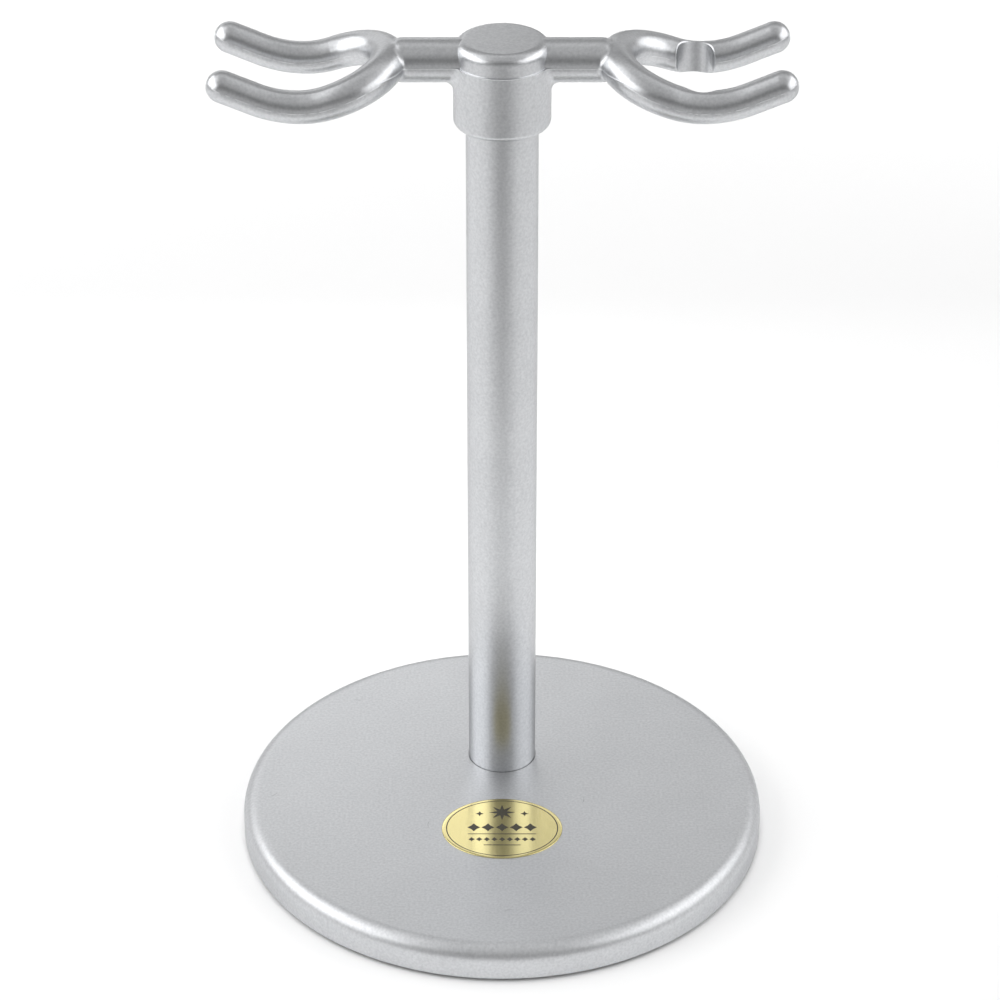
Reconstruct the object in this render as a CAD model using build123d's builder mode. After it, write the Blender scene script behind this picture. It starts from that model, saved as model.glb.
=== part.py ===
"""Desk stand for a safety razor and a shaving brush.

A weighted round base carries an upright tube, set back from the middle.
A die-cast head on top of the tube reaches out to both sides and ends in
two U-shaped forks with dished tines.  The right fork has scallops that
locate a razor handle; the left fork is plain and holds a brush.

Frame: millimetres, +Z up, origin in the middle of the base on the surface
that the stand rests on.  The label side faces -Y, the forks point along X.
"""

import math
import os

from build123d import *

os.makedirs("parts", exist_ok=True)

# ---------------------------------------------------------------- dimensions
# Base: shallow cast shell with a ballast disc and a foam pad inside it
BASE_RADIUS = 50.0
BASE_TOP = 7.0
BASE_SHOULDER = 3.0
BASE_LIFT = 0.4
BASE_BOTTOM_BREAK = 0.35
CAVITY_RADIUS = 47.2
CAVITY_CEILING = 4.4
SEAT_DEPTH = 0.6
SEAT_GAP = 0.1
PAD_THICKNESS = 1.2
PAD_RADIUS = 47.0
BALLAST_RADIUS = 46.8
BALLAST_HOLE_RADIUS = 8.0

# Column: a tube with a pressed-in plug at each end
COLUMN_Y = 12.5
COLUMN_RADIUS = 6.5
COLUMN_WALL = 1.0
COLUMN_TOP = 149.0
COLUMN_END_BREAK = 0.25
PLUG_CLEARANCE = 0.02
LOWER_PLUG_LENGTH = 18.0
UPPER_PLUG_LENGTH = 16.0

# Fasteners, with plain shanks for their threads
THREAD_CLEARANCE = 0.05
SCREW_RADIUS = 2.5
SCREW_LENGTH = 16.0
SCREW_HEAD_RADIUS = 4.75
SCREW_HEAD_HEIGHT = 2.2
SCREW_HEAD_ROUND = 1.1
SCREW_SOCKET_ACROSS_FLATS = 3.0
SCREW_SOCKET_DEPTH = 1.3
SCREW_HOLE_RADIUS = 2.75
WASHER_THICKNESS = 0.9
WASHER_INNER_RADIUS = 2.65
WASHER_OUTER_RADIUS = 5.0
WASHER_TEETH = 10
WASHER_NOTCH_DEPTH = 1.1
WASHER_NOTCH_WIDTH = 1.1
STUD_RADIUS = 3.0
STUD_BOTTOM = 137.0
STUD_TOP = 156.8
STUD_HOLE_TOP = 157.2
STUD_END_BREAK = 0.5

# Head: hub, two bars and two forks in one casting
COLLAR_RADIUS = 8.7
COLLAR_BOTTOM = 143.0
COLLAR_ROUND = 1.2
CAP_RADIUS = 8.4
CAP_ROUND = 1.8
HEAD_TOP = 159.2
BAR_RADIUS = 3.95
BAR_Z = 155.2
BAR_END_X = 19.6
BAR_END_ROUND = 2.0
BAR_ROOT_FILLET = 1.6
TUBE_BORE_CLEARANCE = 0.05

# Forks: a U bend that falls away from the bar, a dished cradle and a rising tip;
# the rod is thickest in the bend and thins towards its tips
TINE_RADIUS = 2.85
CRADLE_ROD_RADIUS = 2.92
BEND_ROD_RADIUS = 3.25
TINE_OFFSET = 10.7
FORK_APEX_X = 20.0
BEND_FALL = math.radians(18.6)
BEND_ROOT_FILLET = 1.2
CRADLE_LOW_Z = 150.95
CRADLE_RADIUS = 20.0
TIP_RISE = math.radians(23)
TIP_X = 48.5
SCALLOP_X = 34.4
SCALLOP_RADIUS = 3.45
SCALLOP_OFFSET = 7.4
SCALLOP_EDGE_BREAK = 0.15

# Label: thin oval foil on the base in front of the column
LABEL_LENGTH = 23.0
LABEL_WIDTH = 19.0
LABEL_THICKNESS = 0.2
LABEL_Y = -12.5

# ------------------------------------------------------------ derived values
SEAT_Z = BASE_TOP - SEAT_DEPTH
TUBE_INNER_RADIUS = COLUMN_RADIUS - COLUMN_WALL
WASHER_BOTTOM = CAVITY_CEILING - WASHER_THICKNESS
HEAD_Z = WASHER_BOTTOM - SCREW_HEAD_HEIGHT
BAR_PLANE = Plane((0, COLUMN_Y, BAR_Z), x_dir=(0, 1, 0), z_dir=(1, 0, 0))
BAR_AXIS = Axis((0, COLUMN_Y, BAR_Z), (1, 0, 0))


def on_column(height):
    """A level plane at this height, centred on the column's axis."""
    return Plane((0, COLUMN_Y, height))


# --------------------------------------------------------------------- base
with BuildPart() as base_shell:
    with BuildSketch(Plane.XZ):
        with BuildLine():
            Polyline(
                (0, BASE_TOP),
                (BASE_RADIUS, BASE_TOP),
                (BASE_RADIUS, BASE_LIFT),
                (CAVITY_RADIUS, BASE_LIFT),
                (CAVITY_RADIUS, CAVITY_CEILING),
                (0, CAVITY_CEILING),
                close=True,
            )
        make_face()
    revolve(axis=Axis.Z)
    rim_edges = base_shell.edges().filter_by(GeomType.CIRCLE).filter_by(
        lambda edge: abs(edge.radius - BASE_RADIUS) < 0.01
    )
    fillet(rim_edges.sort_by(Axis.Z)[-1], BASE_SHOULDER)
    low_edge = base_shell.edges().filter_by(GeomType.CIRCLE).filter_by(
        lambda edge: abs(edge.radius - BASE_RADIUS) < 0.01
    )
    chamfer(low_edge.sort_by(Axis.Z)[0], BASE_BOTTOM_BREAK)
    with BuildSketch(on_column(BASE_TOP)):
        Circle(COLUMN_RADIUS + SEAT_GAP)
    extrude(amount=-SEAT_DEPTH, mode=Mode.SUBTRACT)
    with BuildSketch(on_column(BASE_TOP)):
        Circle(SCREW_HOLE_RADIUS)
    extrude(amount=-BASE_TOP, mode=Mode.SUBTRACT)

with BuildPart() as ballast_disc:
    with BuildSketch(Plane.XY.offset(PAD_THICKNESS)):
        Circle(BALLAST_RADIUS)
        with Locations((0, COLUMN_Y)):
            Circle(BALLAST_HOLE_RADIUS, mode=Mode.SUBTRACT)
    extrude(amount=CAVITY_CEILING - PAD_THICKNESS)

with BuildPart() as foot_pad:
    with BuildSketch():
        Circle(PAD_RADIUS)
    extrude(amount=PAD_THICKNESS)

# ------------------------------------------------------------------- column
with BuildPart() as column_tube:
    with BuildSketch(on_column(SEAT_Z)):
        Circle(COLUMN_RADIUS)
        Circle(TUBE_INNER_RADIUS, mode=Mode.SUBTRACT)
    extrude(amount=COLUMN_TOP - SEAT_Z)
    outer_ends = column_tube.edges().filter_by(GeomType.CIRCLE).filter_by(
        lambda edge: abs(edge.radius - COLUMN_RADIUS) < 0.01
    )
    chamfer(outer_ends, COLUMN_END_BREAK)

with BuildPart() as lower_plug:
    with BuildSketch(on_column(SEAT_Z)):
        Circle(TUBE_INNER_RADIUS - PLUG_CLEARANCE)
        Circle(SCREW_RADIUS + THREAD_CLEARANCE, mode=Mode.SUBTRACT)
    extrude(amount=LOWER_PLUG_LENGTH)

with BuildPart() as upper_plug:
    with BuildSketch(on_column(COLUMN_TOP)):
        Circle(TUBE_INNER_RADIUS - PLUG_CLEARANCE)
        Circle(STUD_RADIUS + THREAD_CLEARANCE, mode=Mode.SUBTRACT)
    extrude(amount=-UPPER_PLUG_LENGTH)

# ---------------------------------------------------------------- fasteners
with BuildPart() as lock_washer:
    with BuildSketch(on_column(WASHER_BOTTOM)):
        Circle(WASHER_OUTER_RADIUS)
        Circle(WASHER_INNER_RADIUS, mode=Mode.SUBTRACT)
        with PolarLocations(WASHER_OUTER_RADIUS, WASHER_TEETH):
            Rectangle(2 * WASHER_NOTCH_DEPTH, WASHER_NOTCH_WIDTH, mode=Mode.SUBTRACT)
    extrude(amount=WASHER_THICKNESS)

with BuildPart() as base_screw:
    with BuildSketch(on_column(HEAD_Z)):
        Circle(SCREW_HEAD_RADIUS)
    extrude(amount=SCREW_HEAD_HEIGHT)
    fillet(base_screw.edges().sort_by(Axis.Z)[0], SCREW_HEAD_ROUND)
    with BuildSketch(on_column(WASHER_BOTTOM)):
        Circle(SCREW_RADIUS)
    extrude(amount=SCREW_LENGTH)
    with BuildSketch(on_column(HEAD_Z)):
        RegularPolygon(SCREW_SOCKET_ACROSS_FLATS / 2, 6, major_radius=False)
    extrude(amount=SCREW_SOCKET_DEPTH, mode=Mode.SUBTRACT)

with BuildPart() as head_stud:
    with BuildSketch(on_column(STUD_BOTTOM)):
        Circle(STUD_RADIUS)
    extrude(amount=STUD_TOP - STUD_BOTTOM)
    chamfer(head_stud.edges().filter_by(GeomType.CIRCLE), STUD_END_BREAK)

# --------------------------------------------------------------------- head
bend_x = FORK_APEX_X + TINE_OFFSET * math.cos(BEND_FALL)
bend_z = BAR_Z - TINE_OFFSET * math.sin(BEND_FALL)
fall_radius = (bend_z - CRADLE_LOW_Z) / (1 - math.cos(BEND_FALL))
cradle_x = bend_x + fall_radius * math.sin(BEND_FALL)
rise_x = cradle_x + CRADLE_RADIUS * math.sin(TIP_RISE)
rise_z = CRADLE_LOW_Z + CRADLE_RADIUS * (1 - math.cos(TIP_RISE))
tip_z = rise_z + (TIP_X - rise_x) * math.tan(TIP_RISE)
bend_apex = Vector(FORK_APEX_X, COLUMN_Y, BAR_Z)


def tine_points(side_y):
    """Tip, end of the rise, lowest point and start of the bend of one tine."""
    y = COLUMN_Y + side_y
    return (
        Vector(TIP_X, y, tip_z),
        Vector(rise_x, y, rise_z),
        Vector(cradle_x, y, CRADLE_LOW_Z),
        Vector(bend_x, y, bend_z),
    )


front_tip, front_rise, front_low, front_bend = tine_points(-TINE_OFFSET)
rear_tip, rear_rise, rear_low, rear_bend = tine_points(TINE_OFFSET)

with BuildPart() as fork_head:
    # lower half of the hub and bars: domed bar ends, filleted bar roots
    with BuildSketch(on_column(COLLAR_BOTTOM)):
        Circle(COLLAR_RADIUS)
    extrude(amount=2 * (BAR_Z - COLLAR_BOTTOM))
    fillet(fork_head.edges().sort_by(Axis.Z)[0], COLLAR_ROUND)
    with BuildSketch(BAR_PLANE):
        Circle(BAR_RADIUS)
    extrude(amount=BAR_END_X, both=True)
    fillet(fork_head.edges().group_by(Axis.X)[-1], BAR_END_ROUND)
    fillet(fork_head.edges().group_by(Axis.X)[0], BAR_END_ROUND)
    bar_roots = fork_head.edges().filter_by(
        lambda edge: COLLAR_RADIUS - 1 < abs(edge.center().X) < COLLAR_RADIUS
        and abs(edge.center().Z - BAR_Z) < BAR_RADIUS
    )
    fillet(bar_roots, BAR_ROOT_FILLET)
    split(bisect_by=Plane.XY.offset(BAR_Z), keep=Keep.BOTTOM)
    # upper half: a slightly smaller cap, and bars that meet it sharply
    with BuildSketch(on_column(BAR_Z)):
        Circle(CAP_RADIUS)
    extrude(amount=HEAD_TOP - BAR_Z)
    fillet(fork_head.edges().group_by(Axis.Z)[-1], CAP_ROUND)
    with BuildSketch(on_column(BAR_Z)) as upper_bar_outline:
        Rectangle(2 * BAR_END_X, BAR_RADIUS, align=(Align.CENTER, Align.MIN))
        fillet(upper_bar_outline.vertices().group_by(Axis.Y)[-1], BAR_END_ROUND)
    revolve(axis=BAR_AXIS, revolution_arc=180)
    # right fork: one bent rod, blended into the bar
    with BuildLine() as fork_line:
        TangentArc(front_rise, front_low, tangent=front_rise - front_tip)
        TangentArc(front_low, front_bend, tangent=(-1, 0, 0))
        ThreePointArc(front_bend, bend_apex, rear_bend)
        TangentArc(rear_low, rear_bend, tangent=(-1, 0, 0))
        TangentArc(rear_rise, rear_low, tangent=rear_rise - rear_tip)
    for place, heading, radius in (
        (front_rise, front_rise - front_tip, TINE_RADIUS),
        (front_low, Vector(-1, 0, 0), CRADLE_ROD_RADIUS),
        (bend_apex, Vector(0, 1, 0), BEND_ROD_RADIUS),
        (rear_low, Vector(1, 0, 0), CRADLE_ROD_RADIUS),
        (rear_rise, rear_tip - rear_rise, TINE_RADIUS),
    ):
        with BuildSketch(Plane(place, z_dir=heading)):
            Circle(radius)
    sweep(path=fork_line.wires()[0], multisection=True)
    bend_root = fork_head.edges(Select.LAST).filter_by(
        lambda edge: edge.geom_type == GeomType.BSPLINE
        and edge.center().X < FORK_APEX_X
        and edge.length < 3 * BAR_RADIUS
    )
    fillet(bend_root, BEND_ROOT_FILLET)
    # straight rising tips with ball ends
    for tip, rise in ((front_tip, front_rise), (rear_tip, rear_rise)):
        with BuildSketch(Plane(rise, z_dir=tip - rise)):
            Circle(TINE_RADIUS)
        extrude(amount=(tip - rise).length)
    with Locations(front_tip, rear_tip):
        Sphere(TINE_RADIUS)
    # left fork: the same rod on the other side
    mirror(about=Plane.YZ)
    # scallops that locate a razor handle, in the right fork only
    with BuildSketch(Plane.XY.offset(COLLAR_BOTTOM)):
        with Locations(
            (SCALLOP_X, COLUMN_Y - SCALLOP_OFFSET),
            (SCALLOP_X, COLUMN_Y + SCALLOP_OFFSET),
        ):
            Circle(SCALLOP_RADIUS)
    extrude(amount=HEAD_TOP - COLLAR_BOTTOM, mode=Mode.SUBTRACT)
    scallop_rims = fork_head.edges(Select.LAST)
    chamfer(scallop_rims, SCALLOP_EDGE_BREAK)
    # bores for the tube and the stud
    with BuildSketch(on_column(COLLAR_BOTTOM)):
        Circle(COLUMN_RADIUS + TUBE_BORE_CLEARANCE)
    extrude(amount=COLUMN_TOP - COLLAR_BOTTOM, mode=Mode.SUBTRACT)
    with BuildSketch(on_column(COLUMN_TOP)):
        Circle(STUD_RADIUS + THREAD_CLEARANCE)
    extrude(amount=STUD_HOLE_TOP - COLUMN_TOP, mode=Mode.SUBTRACT)

# -------------------------------------------------------------------- label
with BuildPart() as oval_label:
    with BuildSketch(Plane((0, LABEL_Y, BASE_TOP))):
        Ellipse(LABEL_LENGTH / 2, LABEL_WIDTH / 2)
    extrude(amount=LABEL_THICKNESS)

# ---------------------------------------------------------------- write out
PIECES = {
    "base_shell": base_shell,
    "ballast_disc": ballast_disc,
    "foot_pad": foot_pad,
    "column_tube": column_tube,
    "lower_plug": lower_plug,
    "upper_plug": upper_plug,
    "lock_washer": lock_washer,
    "base_screw": base_screw,
    "head_stud": head_stud,
    "fork_head": fork_head,
    "oval_label": oval_label,
}
for name, piece in PIECES.items():
    piece.part.label = name
    export_step(piece.part, f"parts/{name}.step")
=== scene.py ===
"""Looks for the razor stand: satin chrome, a gold foil label and a plain studio."""

import math

import bmesh
import bpy
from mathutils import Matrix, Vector


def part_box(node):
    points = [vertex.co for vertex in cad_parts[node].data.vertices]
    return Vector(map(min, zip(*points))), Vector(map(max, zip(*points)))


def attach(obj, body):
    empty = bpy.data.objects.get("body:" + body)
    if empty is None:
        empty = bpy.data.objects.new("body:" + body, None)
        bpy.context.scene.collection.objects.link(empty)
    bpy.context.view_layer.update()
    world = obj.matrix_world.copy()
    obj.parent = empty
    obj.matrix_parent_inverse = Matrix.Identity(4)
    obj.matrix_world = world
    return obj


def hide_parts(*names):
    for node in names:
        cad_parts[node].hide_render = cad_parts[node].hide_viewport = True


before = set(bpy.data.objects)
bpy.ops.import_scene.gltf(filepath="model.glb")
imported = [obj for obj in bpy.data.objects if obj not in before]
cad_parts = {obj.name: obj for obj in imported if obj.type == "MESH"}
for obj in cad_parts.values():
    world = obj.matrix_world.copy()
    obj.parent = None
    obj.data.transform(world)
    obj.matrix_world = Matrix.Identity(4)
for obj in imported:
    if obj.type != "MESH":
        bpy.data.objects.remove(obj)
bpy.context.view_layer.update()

MM = 0.001

# Places that the finishes need, in metres, read from the frame.
HEAD_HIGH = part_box("fork_head")[1]
LABEL_LOW, LABEL_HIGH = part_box("oval_label")
COLUMN_LOW, COLUMN_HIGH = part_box("column_tube")
BAR_HEIGHT = HEAD_HIGH[2] - 4.0 * MM  # parting plane of the cap, collar and bars
COLUMN_Y = 0.5 * (COLUMN_LOW[1] + COLUMN_HIGH[1])
CRADLE_LOW = BAR_HEIGHT - 4.25 * MM  # lowest centre height of a tine
CRADLE_X = 35.25 * MM  # where that lowest point is
FALL_RADIUS = 16 * MM  # side view of a tine, from the bar down to that point
FALL_ANGLE = math.radians(18.6)
RISE_RADIUS = 20 * MM  # and from there up to the tip
RISE_ANGLE = math.radians(23)
SCALLOP_X = 34.4 * MM
SCALLOP_OFFSET = 7.4 * MM  # to each side of the column's axis
SCALLOP_RADIUS = 3.45 * MM
SCALLOP_EDGE = 0.15 * MM  # kept free of the mould's line round each scallop
TINE_START = 21 * MM  # from here out the mould's line follows the tines


# ------------------------------------------------------------- node helpers
def new_material(name):
    """An empty node material; returns the material and its tree."""
    material = bpy.data.materials.new(name)
    material.use_nodes = True
    material.node_tree.nodes.clear()
    return material, material.node_tree


def connect(tree, socket, value):
    """Link a socket into an input, or set the input to a plain value."""
    if isinstance(value, bpy.types.NodeSocket):
        tree.links.new(value, socket)
    else:
        socket.default_value = value


def add(tree, kind, *links, **settings):
    """Add a node; settings are its attributes, links are (input, value or socket)."""
    node = tree.nodes.new(kind)
    for key, value in settings.items():
        setattr(node, key, value)
    for name, value in links:
        connect(tree, node.inputs[name], value)
    return node


def calc(tree, operation, *values):
    """One Math node; values are numbers or sockets in input order."""
    return add(tree, "ShaderNodeMath", *enumerate(values), operation=operation).outputs[0]


def vector_calc(tree, operation, *values):
    """One Vector Math node; gives its vector, or its number for DISTANCE."""
    node = add(tree, "ShaderNodeVectorMath", *enumerate(values), operation=operation)
    return node.outputs["Value" if operation == "DISTANCE" else "Vector"]


def position(tree):
    """The surface point in the stand's own frame, in metres."""
    return add(tree, "ShaderNodeTexCoord").outputs["Object"]


def split_axes(tree, vector):
    """The X, Y and Z of a vector."""
    return add(tree, "ShaderNodeSeparateXYZ", ("Vector", vector)).outputs


def noise(tree, vector, scale, detail=2.0):
    """Noise between 0 and 1 with about this many cells per metre."""
    links = (("Vector", vector), ("Scale", scale), ("Detail", detail))
    return add(tree, "ShaderNodeTexNoise", *links).outputs[0]


def remap(tree, value, low, high, to_low=0.0, to_high=1.0):
    """Linear map of a value, clamped to the new range."""
    links = (
        ("Value", value),
        ("From Min", low),
        ("From Max", high),
        ("To Min", to_low),
        ("To Max", to_high),
    )
    return add(tree, "ShaderNodeMapRange", *links).outputs[0]


def mix_colour(tree, factor, first, second):
    """Blend of two colours, each an RGB tuple or a socket."""
    node = add(tree, "ShaderNodeMix", ("Factor", factor), data_type="RGBA")
    inputs = [socket for socket in node.inputs if socket.type == "RGBA"]
    for socket, end in zip(inputs, (first, second)):
        connect(tree, socket, (*end, 1.0) if isinstance(end, tuple) else end)
    return next(socket for socket in node.outputs if socket.type == "RGBA")


def bump(tree, height, distance, normal=None):
    """Relief from a 0 to 1 height, this deep in metres, on top of another bump."""
    links = [("Height", height), ("Strength", 1.0), ("Distance", distance)]
    if normal is not None:
        links.append(("Normal", normal))
    return add(tree, "ShaderNodeBump", *links).outputs[0]


def shader(tree, *links):
    """The Principled shader, wired to the output."""
    node = add(tree, "ShaderNodeBsdfPrincipled", *links)
    add(tree, "ShaderNodeOutputMaterial", ("Surface", node.outputs[0]))


# ------------------------------------------------------------ surface marks
TINE_LINE = 0.14 * MM  # half width of the mould's line on the tines
BAR_LINE = 0.12 * MM  # and on the bars


def band(tree, value, half_width):
    """1 where the value is near 0, fading to 0 at the half width."""
    return remap(tree, calc(tree, "ABSOLUTE", value), 0.4 * half_width, half_width, 1.0, 0.0)


def climb(tree, out, radius, angle):
    """Height gained this far out along an arc from level, then straight on."""
    reach = radius * math.sin(angle)
    bent = calc(tree, "MINIMUM", calc(tree, "MAXIMUM", out, 0.0), reach)
    square = calc(tree, "SUBTRACT", radius**2, calc(tree, "MULTIPLY", bent, bent))
    arc = calc(tree, "SUBTRACT", radius, calc(tree, "SQRT", square))
    rest = calc(tree, "MAXIMUM", calc(tree, "SUBTRACT", out, reach), 0.0)
    return calc(tree, "ADD", arc, calc(tree, "MULTIPLY", rest, math.tan(angle)))


def tine_middle(tree, reach):
    """Height of a fork rod's middle line, this far out from the column along X."""
    outward = calc(tree, "SUBTRACT", reach, CRADLE_X)
    inward = calc(tree, "SUBTRACT", CRADLE_X, reach)
    rise = climb(tree, outward, RISE_RADIUS, RISE_ANGLE)
    fall = climb(tree, inward, FALL_RADIUS, FALL_ANGLE)
    return calc(tree, "ADD", calc(tree, "ADD", rise, fall), CRADLE_LOW)


def clear_of_scallops(tree, point):
    """1 everywhere but inside the two scallops of the right fork."""
    x, y, _ = split_axes(tree, point)
    aside = calc(tree, "ABSOLUTE", calc(tree, "SUBTRACT", y, COLUMN_Y))
    flat = add(tree, "ShaderNodeCombineXYZ", ("X", x), ("Y", aside)).outputs[0]
    away = vector_calc(tree, "DISTANCE", flat, (SCALLOP_X, SCALLOP_OFFSET, 0.0))
    return calc(tree, "GREATER_THAN", away, SCALLOP_RADIUS + SCALLOP_EDGE)


def parting_line(tree, point):
    """The mould's line along the bars and, in broken stretches, along each tine."""
    x, _, z = split_axes(tree, point)
    reach = calc(tree, "ABSOLUTE", x)
    tine = band(tree, calc(tree, "SUBTRACT", z, tine_middle(tree, reach)), TINE_LINE)
    broken = remap(tree, noise(tree, point, 900.0), 0.42, 0.56)
    broken = calc(tree, "MULTIPLY", broken, clear_of_scallops(tree, point))
    tine = calc(tree, "MULTIPLY", tine, broken)
    bar = band(tree, calc(tree, "SUBTRACT", z, BAR_HEIGHT), BAR_LINE)
    on_tine = calc(tree, "GREATER_THAN", reach, TINE_START)
    on_bar = calc(tree, "SUBTRACT", 1.0, on_tine)
    tine = calc(tree, "MULTIPLY", tine, on_tine)
    return calc(tree, "ADD", tine, calc(tree, "MULTIPLY", bar, on_bar))


def cells(tree, point, spacing):
    """Random cells of this size: the point in cell units and the cell's node."""
    scaled = vector_calc(tree, "MULTIPLY", point, (1 / spacing, 1 / spacing, 1 / spacing))
    return scaled, add(tree, "ShaderNodeTexVoronoi", ("Vector", scaled), ("Scale", 1.0))


def hair_marks(tree, point, spacing, length, width, share):
    """Short curved hairlines: one in each cell, kept only in a share of the cells."""
    scaled, cell = cells(tree, point, spacing)
    near = vector_calc(tree, "SUBTRACT", scaled, cell.outputs["Position"])
    random, turn, _ = split_axes(tree, cell.outputs["Color"])
    angle = calc(tree, "MULTIPLY", turn, 2 * math.pi)
    turned = add(tree, "ShaderNodeVectorRotate", ("Vector", near), ("Angle", angle)).outputs[0]
    along, across, _ = split_axes(tree, turned)
    curl = calc(tree, "MULTIPLY", calc(tree, "MULTIPLY", along, along), 3.0)
    line = band(tree, calc(tree, "SUBTRACT", across, curl), width / spacing)
    ends = band(tree, along, length / spacing)
    kept = calc(tree, "LESS_THAN", random, share)
    return calc(tree, "MULTIPLY", calc(tree, "MULTIPLY", line, ends), kept)


def pits(tree, point, spacing, radius, share):
    """Tiny round marks, in a share of the cells."""
    _, cell = cells(tree, point, spacing)
    random = split_axes(tree, cell.outputs["Color"])[0]
    size = radius / spacing
    dot = remap(tree, cell.outputs["Distance"], 0.5 * size, size, 1.0, 0.0)
    return calc(tree, "MULTIPLY", dot, calc(tree, "LESS_THAN", random, share))


# ---------------------------------------------------------------- materials
CHROME_DARK, CHROME_LIGHT = (0.59, 0.6, 0.615), (0.72, 0.73, 0.745)
CHROME_MARK = (0.16, 0.17, 0.19)
# Painted highlight: a pale colour laid along the mould's line, where its ridge catches the
# light.
CHROME_SEAM_HIGHLIGHT = (0.86, 0.87, 0.89)
CHROME_EDGE_TINT = (0.7, 0.7, 0.7, 1.0)
CLOUD_CELLS = 70.0  # per metre
GRAIN_CELLS = 2000.0
MARK_DEPTH = 0.55  # how far a mark darkens the metal
SEAM_HIGHLIGHT_STRENGTH = 0.75  # how far the painted highlight on the mould's line lightens it
SEAM_RELIEF = 0.03 * MM


def satin_chrome(name, roughness, grain, seam=None, hairs=False):
    """Blasted and plated metal: fine pearly grain, faint clouds, a few tiny marks."""
    material, tree = new_material(name)
    point = position(tree)
    cloud = noise(tree, point, CLOUD_CELLS, 3.0)
    fine = noise(tree, point, GRAIN_CELLS, 1.0)
    marks = pits(tree, point, 7 * MM, 0.11 * MM, 0.16)
    if hairs:
        hair = hair_marks(tree, point, 15 * MM, 1.1 * MM, 0.07 * MM, 0.12)
        marks = calc(tree, "MAXIMUM", marks, hair)
    mottle = calc(tree, "MULTIPLY", fine, 0.7)
    mottle = calc(tree, "ADD", mottle, calc(tree, "MULTIPLY", cloud, 0.3))
    mottle = remap(tree, mottle, 0.3, 0.7)
    colour = mix_colour(tree, mottle, CHROME_DARK, CHROME_LIGHT)
    colour = mix_colour(tree, calc(tree, "MULTIPLY", marks, MARK_DEPTH), colour, CHROME_MARK)
    normal = bump(tree, fine, grain)
    if seam is not None:
        # The mould's line gets real relief from its bump; its lighter colour is a painted
        # highlight.
        line = seam(tree, point)
        seam_highlight = calc(tree, "MULTIPLY", line, SEAM_HIGHLIGHT_STRENGTH)
        colour = mix_colour(tree, seam_highlight, colour, CHROME_SEAM_HIGHLIGHT)
        normal = bump(tree, line, SEAM_RELIEF, normal)
    shader(
        tree,
        ("Base Color", colour),
        ("Metallic", 1.0),
        ("Specular Tint", CHROME_EDGE_TINT),
        ("Roughness", remap(tree, cloud, 0.3, 0.7, roughness - 0.015, roughness + 0.015)),
        ("Normal", normal),
    )
    return material


def gold_foil():
    """Pale gold film with the fine lengthwise grain of rolled foil."""
    material, tree = new_material("gold_film")
    stretched = vector_calc(tree, "MULTIPLY", position(tree), (1.0, 0.06, 1.0))
    grain = noise(tree, stretched, 5200.0)
    shader(
        tree,
        ("Base Color", mix_colour(tree, grain, (0.76, 0.67, 0.32), (0.84, 0.745, 0.375))),
        ("Metallic", 1.0),
        ("Roughness", remap(tree, grain, 0.3, 0.7, 0.13, 0.18)),
        ("Normal", bump(tree, grain, 0.0006 * MM)),
    )
    return material


def printed_ink():
    """Dark brown ink, a little uneven."""
    material, tree = new_material("label_ink")
    blotch = noise(tree, position(tree), 1800.0)
    shader(
        tree,
        ("Base Color", mix_colour(tree, blotch, (0.022, 0.02, 0.013), (0.05, 0.045, 0.028))),
        ("Roughness", remap(tree, blotch, 0.3, 0.7, 0.35, 0.5)),
    )
    return material


def foam_rubber():
    """Black closed-cell foam, with its small cut cells."""
    material, tree = new_material("foam_rubber")
    point = position(tree)
    cell = add(tree, "ShaderNodeTexVoronoi", ("Vector", point), ("Scale", 2400.0))
    tone = noise(tree, point, 300.0, 3.0)
    shader(
        tree,
        ("Base Color", mix_colour(tree, tone, (0.012, 0.012, 0.013), (0.034, 0.034, 0.036))),
        ("Roughness", remap(tree, tone, 0.3, 0.7, 0.82, 0.95)),
        ("Normal", bump(tree, cell.outputs["Distance"], 0.12 * MM)),
    )
    return material


def turned_steel(name, dark, light, roughness):
    """Turned or rolled steel: fine rings about the column's axis and a soft cloud."""
    material, tree = new_material(name)
    point = position(tree)
    z = split_axes(tree, point)[2]
    flat = vector_calc(tree, "MULTIPLY", point, (1.0, 1.0, 0.0))
    radius = vector_calc(tree, "DISTANCE", flat, (0.0, COLUMN_Y, 0.0))
    ring_point = add(tree, "ShaderNodeCombineXYZ", ("X", radius), ("Z", z)).outputs[0]
    rings = noise(tree, ring_point, 6000.0)
    cloud = remap(tree, noise(tree, point, 160.0, 3.0), 0.3, 0.7)
    shader(
        tree,
        ("Base Color", mix_colour(tree, cloud, dark, light)),
        ("Metallic", 1.0),
        ("Roughness", remap(tree, rings, 0.3, 0.7, roughness - 0.07, roughness + 0.07)),
        ("Normal", bump(tree, rings, 0.004 * MM)),
    )
    return material


def assign(node_name, material):
    """Give a CAD node one material in every slot."""
    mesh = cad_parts[node_name].data
    mesh.materials.clear()
    mesh.materials.append(material)


def finish_cad_parts():
    assign("base_shell", satin_chrome("satin_chrome_base", 0.45, 0.0016 * MM, hairs=True))
    assign("column_tube", satin_chrome("satin_chrome_column", 0.31, 0.0012 * MM))
    head = satin_chrome("satin_chrome_head", 0.32, 0.0014 * MM, seam=parting_line)
    assign("fork_head", head)
    assign("foot_pad", foam_rubber())
    steel = turned_steel("plain_steel", (0.29, 0.28, 0.27), (0.37, 0.36, 0.35), 0.42)
    assign("ballast_disc", steel)
    zinc = turned_steel("zinc_plated_steel", (0.52, 0.54, 0.57), (0.65, 0.67, 0.71), 0.3)
    for node in ("lower_plug", "upper_plug", "lock_washer", "base_screw", "head_stud"):
        assign(node, zinc)


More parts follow.
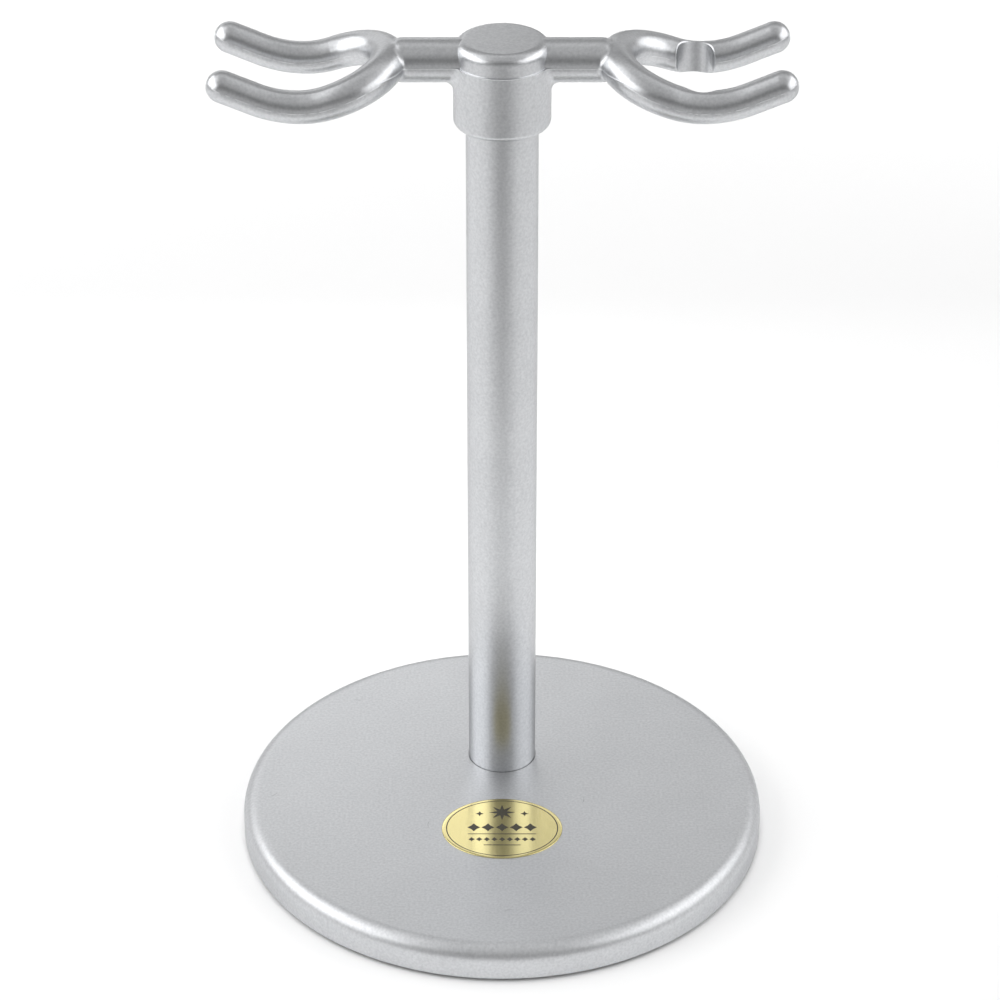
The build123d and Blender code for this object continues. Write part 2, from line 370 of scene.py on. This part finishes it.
# -------------------------------------------------------------------- label
LABEL_SEGMENTS = 96
LABEL_HALF_X = 0.5 * (LABEL_HIGH[0] - LABEL_LOW[0])
LABEL_HALF_Y = 0.5 * (LABEL_HIGH[1] - LABEL_LOW[1])
LABEL_MIDDLE_Y = 0.5 * (LABEL_HIGH[1] + LABEL_LOW[1])
FOIL_TOP = LABEL_LOW[2] + 0.14 * MM
INK_HEIGHT = 0.012 * MM


def foil_height(x, y, above=0.0):
    """A height above the film, which is flat but for faint ripples from rubbing down."""
    ripple = math.sin(x / (1.9 * MM) + 0.7) * math.sin(y / (2.6 * MM) + 0.2)
    return FOIL_TOP + 0.008 * MM * ripple + above


def ring_on_film(mesh, points, above=0.0):
    """Vertices at these label points, this far above the film."""
    return [mesh.verts.new((x, LABEL_MIDDLE_Y + y, foil_height(x, y, above))) for x, y in points]


def oval(fraction):
    """Points round an oval, a fraction of the label's outline, about its middle."""
    turns = [2 * math.pi * i / LABEL_SEGMENTS for i in range(LABEL_SEGMENTS)]
    x, y = fraction * LABEL_HALF_X, fraction * LABEL_HALF_Y
    return [(x * math.cos(turn), y * math.sin(turn)) for turn in turns]


def bridge(mesh, first, second, material_index=0):
    """Quads between two rings of the same count."""
    for i in range(len(first)):
        j = (i + 1) % len(first)
        face = mesh.faces.new((first[i], first[j], second[j], second[i]))
        face.material_index = material_index


def build_film(mesh):
    """The gold film: rippled top, rounded rim, flat underside."""
    centre = mesh.verts.new((0.0, LABEL_MIDDLE_Y, foil_height(0.0, 0.0)))
    rings = [ring_on_film(mesh, oval(step / 20)) for step in range(1, 20)]
    rings.append(ring_on_film(mesh, oval(0.99)))
    rings.append(ring_on_film(mesh, oval(1.0), -0.05 * MM))
    rings.append([mesh.verts.new((v.co.x, v.co.y, LABEL_LOW[2])) for v in rings[-1]])
    for i, vertex in enumerate(rings[0]):
        mesh.faces.new((centre, vertex, rings[0][(i + 1) % LABEL_SEGMENTS]))
    for inner, outer in zip(rings, rings[1:]):
        bridge(mesh, inner, outer)
    mesh.faces.new(rings[-1])


def print_patch(mesh, points):
    """A printed patch with this outline, as a very thin solid on the film."""
    low = ring_on_film(mesh, points, -INK_HEIGHT)
    high = ring_on_film(mesh, points, INK_HEIGHT)
    bridge(mesh, low, high, 1)
    for face in (mesh.faces.new(high), mesh.faces.new(low)):
        face.material_index = 1


def print_border(mesh, outer, inner):
    """A printed line round the label between two fractions of its outline."""
    corners = ((outer, -1), (outer, 1), (inner, 1), (inner, -1))
    rings = [ring_on_film(mesh, oval(fraction), side * INK_HEIGHT) for fraction, side in corners]
    for first, second in zip(rings, rings[1:] + rings[:1]):
        bridge(mesh, first, second, 1)


def star(x, y, outer, inner, points):
    """Outline of a star about a place on the label."""
    outline = []
    for i in range(2 * points):
        angle = math.pi * (i / points + 0.5)
        radius = inner if i % 2 else outer
        outline.append((x + radius * math.cos(angle), y + radius * math.sin(angle)))
    return outline


def rule(y, length, width):
    """Outline of a straight rule across the label."""
    x, up = 0.5 * length, 0.5 * width
    return [(-x, y - up), (x, y - up), (x, y + up), (-x, y + up)]


def label_ornament():
    """Outlines of a plain ornament: a rosette, two rows of lozenges and two rules."""
    yield star(0.0, 5.0 * MM, 2.5 * MM, 1.0 * MM, 8)
    for side in (-1, 1):
        yield star(4.3 * MM * side, 4.6 * MM, 0.8 * MM, 0.35 * MM, 4)
    for step in range(-2, 3):
        yield star(2.7 * MM * step, 0.2 * MM, 1.25 * MM, 0.75 * MM, 4)
    yield rule(-1.9 * MM, 13.0 * MM, 0.2 * MM)
    for step in range(-4, 5):
        yield star(1.45 * MM * step, -3.6 * MM, 0.62 * MM, 0.4 * MM, 4)
    yield rule(-5.4 * MM, 7.0 * MM, 0.2 * MM)


def make_label():
    """The oval foil label with its print, in place of the plain CAD oval."""
    mesh = bmesh.new()
    build_film(mesh)
    print_border(mesh, 0.93, 0.912)
    for outline in label_ornament():
        print_patch(mesh, outline)
    bmesh.ops.recalc_face_normals(mesh, faces=mesh.faces)
    for face in mesh.faces:
        face.smooth = face.material_index == 0 and len(face.verts) < LABEL_SEGMENTS
    data = bpy.data.meshes.new("foil_label")
    mesh.to_mesh(data)
    mesh.free()
    data.materials.append(gold_foil())
    data.materials.append(printed_ink())
    label = bpy.data.objects.new("foil_label", data)
    bpy.context.scene.collection.objects.link(label)
    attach(label, "root")
    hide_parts("oval_label")


# -------------------------------------------------------------------- stage
FLOOR_SIZE = 6.0
PAINTED_SHADOW_MIDDLE = (0.0, -0.3, 0.0)  # middle of the painted shadow on the floor, in front of the stand
PAINTED_SHADOW_INNER, PAINTED_SHADOW_OUTER = 0.05, 0.24  # where it starts and stops getting lighter
PAINTED_SHADOW_LEVEL, FLOOR_LEVEL = 0.4, 0.86
# Brightness of the surroundings at even angles, from the front over the top to
# the back.
WORLD_LEVELS = (0.36, 0.14, 0.35, 0.49, 0.5, 0.52, 0.76, 0.42, 0.32, 0.34, 0.2)
CAMERA_LENS, CAMERA_SENSOR = 126.0, 36.0
CAMERA_SHIFT = -0.0347
CAMERA_TILT = math.radians(30.39)
CAMERA_DISTANCE = 0.6416
CAMERA_ASIDE, CAMERA_AIM_HEIGHT = -0.4 * MM, 0.08


def make_floor():
    """White paper with a painted shadow that greys it off in front of the stand, for the metal
    to mirror.
    """
    bpy.ops.mesh.primitive_plane_add(size=FLOOR_SIZE)
    floor = bpy.context.object
    floor.name = "floor"
    material, tree = new_material("floor_paper")
    # Painted shadow: the paper's colour darkens towards a spot in front of the stand.
    away = vector_calc(tree, "DISTANCE", position(tree), PAINTED_SHADOW_MIDDLE)
    level = remap(tree, away, PAINTED_SHADOW_INNER, PAINTED_SHADOW_OUTER, PAINTED_SHADOW_LEVEL, FLOOR_LEVEL)
    shader(
        tree,
        ("Base Color", mix_colour(tree, level, (0.0, 0.0, 0.0), (1.0, 1.0, 1.0))),
        ("Roughness", 0.9),
        ("Specular IOR Level", 0.0),
    )
    floor.data.materials.append(material)


def softbox(name, place, target, size, radiance, spread=180, mirrored=True):
    """A rectangular light of this brightness; a wash is not mirrored in the metal."""
    light = bpy.data.lights.new(name, "AREA")
    light.shape = "RECTANGLE"
    light.size, light.size_y = size
    light.energy = math.pi * size[0] * size[1] * radiance
    light.spread = math.radians(spread)
    lamp = bpy.data.objects.new(name, light)
    bpy.context.scene.collection.objects.link(lamp)
    lamp.location = place
    aim = Vector(target) - Vector(place)
    lamp.rotation_euler = aim.to_track_quat("-Z", "Y").to_euler()
    lamp.visible_camera = False
    lamp.visible_glossy = mirrored


def make_side_lights(name, side, wide, top, low, behind):
    """One side's boxes: a big one close by, a high one, and two behind the stand."""
    softbox(name + "_wide", (0.45 * side, -0.05, 0.32), (0, -0.05, 0.05), (0.8, 0.35), wide)
    softbox(name + "_top", (0.5 * side, 0, 0.8), (0, 0, 0.08), (0.6, 0.4), top)
    softbox(name + "_low", (0.13 * side, 0.22, 0.11), (0.13 * side, 0, 0.11), (0.26, 0.1), low)
    place, target = (0.15 * side, 0.35, 0.27), (0.15 * side, 0, 0.27)
    softbox(name + "_behind", place, target, (0.3, 0.14), behind)


def make_floor_washes():
    """Light that whitens the floor but is not mirrored in the metal."""
    softbox("wash_near", (0, 0, 0.5), (0, 0, 0), (0.2, 0.2), 0.67, 50, False)
    softbox("wash_back", (0, 0.3, 0.7), (0, 0.3, 0), (1.4, 0.2), 0.3, 50, False)
    softbox("wash_far", (0, 0.55, 0.7), (0, 0.55, 0), (1.4, 0.3), 0.85, 50, False)


def make_world():
    """Surroundings by angle from the front, over the top, to the back."""
    world = bpy.data.worlds.new("studio")
    bpy.context.scene.world = world
    world.use_nodes = True
    tree = world.node_tree
    tree.nodes.clear()
    _, y, z = split_axes(tree, add(tree, "ShaderNodeTexCoord").outputs["Generated"])
    angle = calc(tree, "ARCTAN2", z, calc(tree, "MULTIPLY", y, -1.0))
    turn = calc(tree, "DIVIDE", angle, math.pi)
    ramp = add(tree, "ShaderNodeValToRGB", ("Fac", turn))
    elements = ramp.color_ramp.elements
    for i in range(1, len(WORLD_LEVELS) - 1):
        elements.new(i / (len(WORLD_LEVELS) - 1))
    for element, level in zip(elements, WORLD_LEVELS):
        element.color = (level, level, level, 1.0)
    background = add(tree, "ShaderNodeBackground", ("Color", ramp.outputs["Color"]))
    add(tree, "ShaderNodeOutputWorld", ("Surface", background.outputs[0]))


def make_camera():
    """Looks down at 30 degrees from the label side with a long lens."""
    camera = bpy.data.cameras.new("camera")
    camera.lens = CAMERA_LENS
    camera.sensor_width = CAMERA_SENSOR
    camera.shift_y = CAMERA_SHIFT
    camera.clip_end = 20.0
    back = CAMERA_DISTANCE * math.cos(CAMERA_TILT)
    up = CAMERA_DISTANCE * math.sin(CAMERA_TILT)
    eye = bpy.data.objects.new("camera", camera)
    eye.location = (CAMERA_ASIDE, -back, CAMERA_AIM_HEIGHT + up)
    eye.rotation_euler = (math.pi / 2 - CAMERA_TILT, 0.0, 0.0)
    bpy.context.scene.collection.objects.link(eye)
    bpy.context.scene.camera = eye


finish_cad_parts()
make_label()
make_floor()
make_world()
make_side_lights("left", -1, wide=1.8, top=0.54, low=0.74, behind=0.8)
make_side_lights("right", 1, wide=1.36, top=0.15, low=0.46, behind=0.4)
make_floor_washes()
make_camera()
bpy.context.scene.view_settings.view_transform = "Standard"
